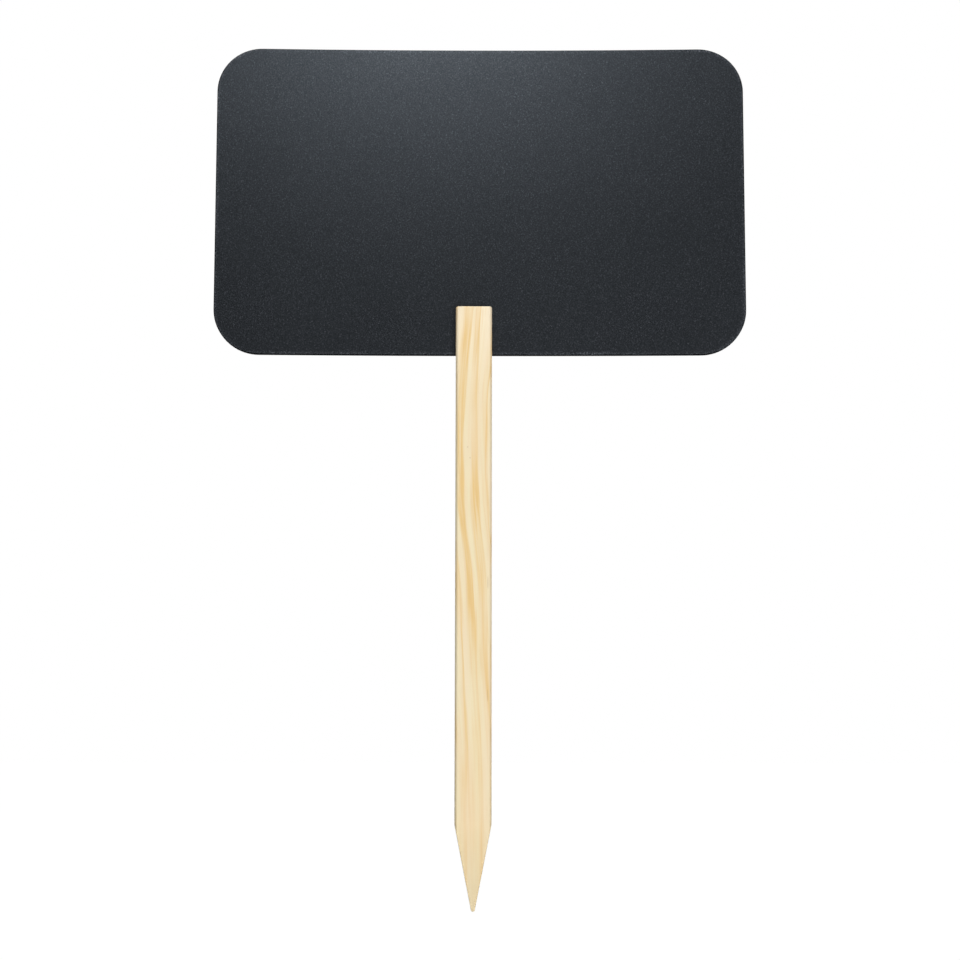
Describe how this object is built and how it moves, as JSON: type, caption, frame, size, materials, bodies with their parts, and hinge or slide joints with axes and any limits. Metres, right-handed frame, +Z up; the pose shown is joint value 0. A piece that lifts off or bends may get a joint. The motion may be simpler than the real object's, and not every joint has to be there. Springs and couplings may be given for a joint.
{
  "type": "chalkboard stake",
  "caption": "Round-cornered chalkboard panel standing in the slotted head of a flat, pointed wooden stake, for labelling a pot or a flower bed.",
  "frame": {"origin": "on the stake's centre line, at the surface of the ground it is pushed into", "axes": "+Z up along the stake, +X to the right along the board as seen from the front, +Y from the front to the back"},
  "size_m": [0.27, 0.012, 0.4365],
  "materials": {
    "pine": "planed and sanded pale pine, not varnished, with fine lengthwise grain",
    "chalk_lacquer": "matt black chalk lacquer with a fine tooth, over thin fibreboard, on both faces and the edge"
  },
  "bodies": {
    "stake": {"stake": "pine"},
    "board": {"board": "chalk_lacquer"}
  },
  "joints": [
    {"name": "board_lift", "type": "slide", "parent": "stake", "child": "board", "axis": [0, 0, 1], "range_m": [0, 0.0245]}
  ]
}
